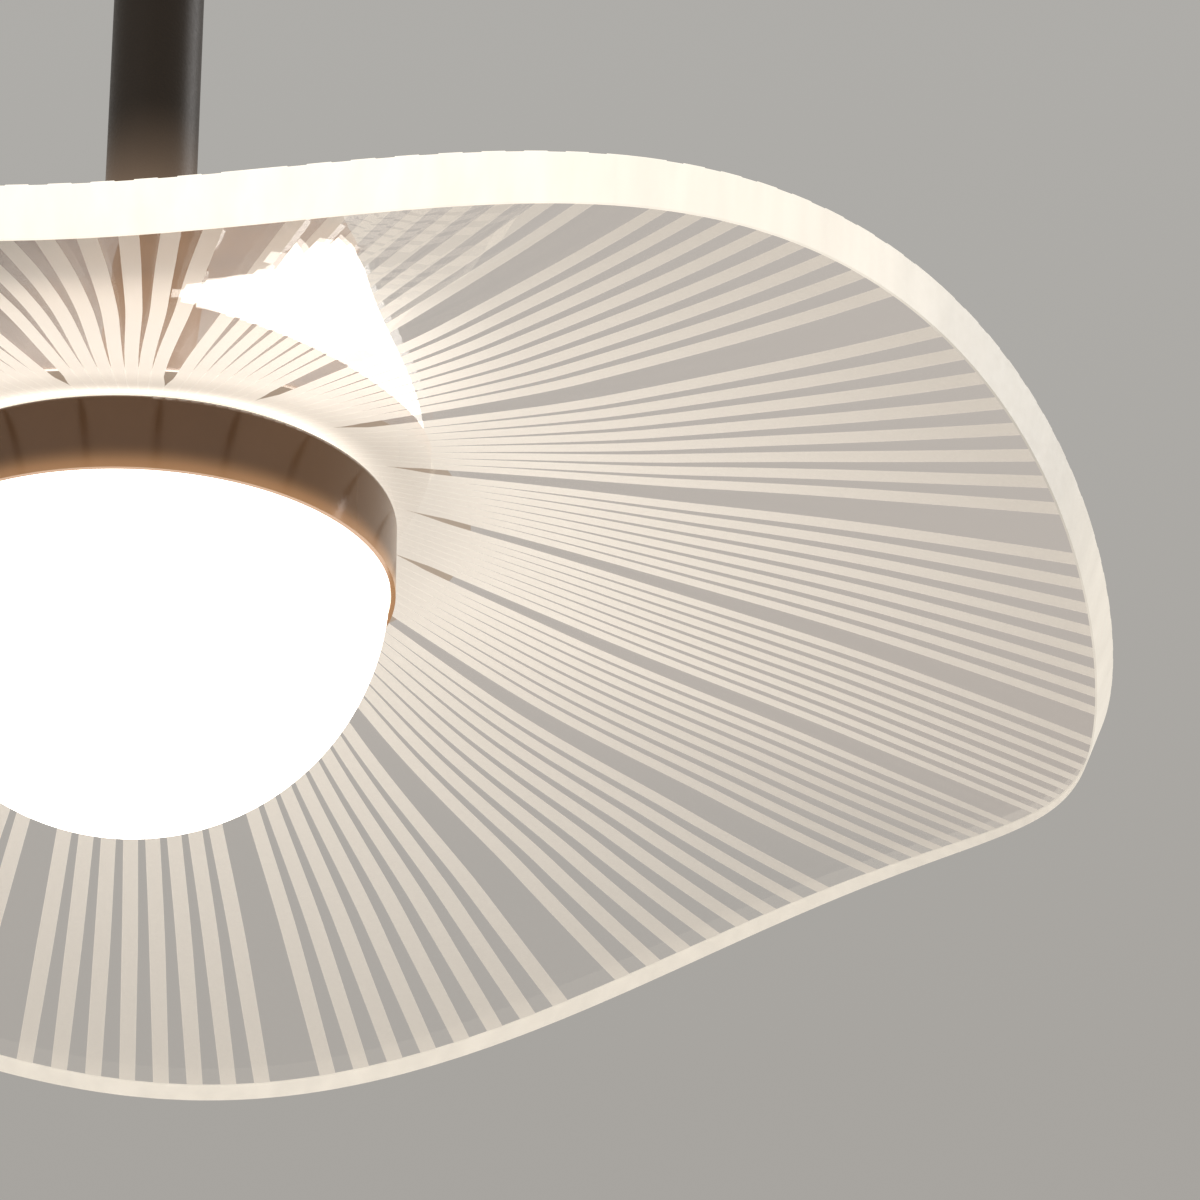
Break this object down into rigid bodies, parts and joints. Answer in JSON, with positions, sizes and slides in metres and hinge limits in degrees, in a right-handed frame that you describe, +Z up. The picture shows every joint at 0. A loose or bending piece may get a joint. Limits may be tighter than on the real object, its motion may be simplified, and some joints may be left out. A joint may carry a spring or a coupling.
{
  "type": "led pendant light",
  "caption": "Pendant light: a wavy clear edge-lit disc shade over a short drum and opal half-ball dome, on a slim drop rod from a round ceiling canopy.",
  "frame": {"origin": "centre of the two ceiling screw slots on the mounting plate's ceiling face", "axes": "+Z up into the ceiling, the lamp hangs along -Z; the two ceiling slots lie on X; a crest of the shade's rim is 39 degrees from +X towards +Y"},
  "size_m": [0.4114, 0.4114, 0.4901],
  "materials": {
    "dark_brown_coat": "satin dark brown powder coat",
    "brown_coat": "satin brown powder coat",
    "clear_acrylic": "clear polished acrylic with a frosted bar pattern on its top face",
    "opal_acrylic": "opal, lit from inside",
    "lit_lamp": "small lamp packages, lit",
    "white_board": "white solder resist",
    "aluminium": "turned",
    "zinc_steel": "zinc plated",
    "brass": "plain",
    "nylon": "natural nylon",
    "driver_case": "fine grained",
    "silicone": "translucent white",
    "lead_jacket": "matt black jacket"
  },
  "bodies": {
    "fixed_end": {"mounting_plate": "zinc_steel", "canopy_studs": "zinc_steel", "stud_nuts": "zinc_steel", "swivel_tube": "brass", "tube_lock_nut": "zinc_steel", "swivel_washer": "nylon", "swivel_nut": "zinc_steel", "stop_pin": "zinc_steel", "led_driver": "driver_case", "driver_screws": "zinc_steel", "terminal_block": "nylon", "earth_screw": "brass"},
    "swivel": {"swivel_yoke": "zinc_steel", "swivel_pin": "zinc_steel", "pin_clips": "zinc_steel"},
    "lamp": {"swivel_knuckle": "zinc_steel", "rod_grub_screws": "zinc_steel", "drop_rod": "dark_brown_coat", "ball_cover": "dark_brown_coat", "collar_screw": "zinc_steel", "supply_lead": "lead_jacket", "rod_foot": "dark_brown_coat", "head_tube": "brass", "top_cap": "brown_coat", "upper_gasket": "silicone", "shade_plate": "clear_acrylic", "lower_gasket": "silicone", "light_spool": "aluminium", "edge_light_strip": "white_board", "edge_lamps": "lit_lamp", "edge_strip_lead": "lead_jacket", "housing": "brown_coat", "hub_screws": "zinc_steel", "downlight_board": "white_board", "downlight_lamps": "lit_lamp", "board_screws": "zinc_steel", "board_plug": "nylon", "reflector_cone": "white_board", "clamp_washer": "zinc_steel", "clamp_nut": "zinc_steel", "bayonet_ring": "zinc_steel"},
    "canopy_cup": {"canopy": "dark_brown_coat", "canopy_cap_nuts": "dark_brown_coat"},
    "dome": {"diffuser_dome": "opal_acrylic"}
  },
  "joints": [
    {"name": "swivel_turn", "type": "hinge", "parent": "fixed_end", "child": "swivel", "pos_m": [0, 0, -0.009], "axis": [0, 0, 1], "range_deg": [-165, 165]},
    {"name": "swivel_tilt", "type": "hinge", "parent": "swivel", "child": "lamp", "pos_m": [0, 0, -0.026], "axis": [1, 0, 0], "range_deg": [-8, 8]},
    {"name": "canopy_slide", "type": "slide", "parent": "fixed_end", "child": "canopy_cup", "axis": [0, 0, -1], "range_m": [0, 0.05]},
    {"name": "dome_twist", "type": "hinge", "parent": "lamp", "child": "dome", "pos_m": [0, 0, -0.4327], "axis": [0, 0, 1], "range_deg": [0, 42]}
  ]
}
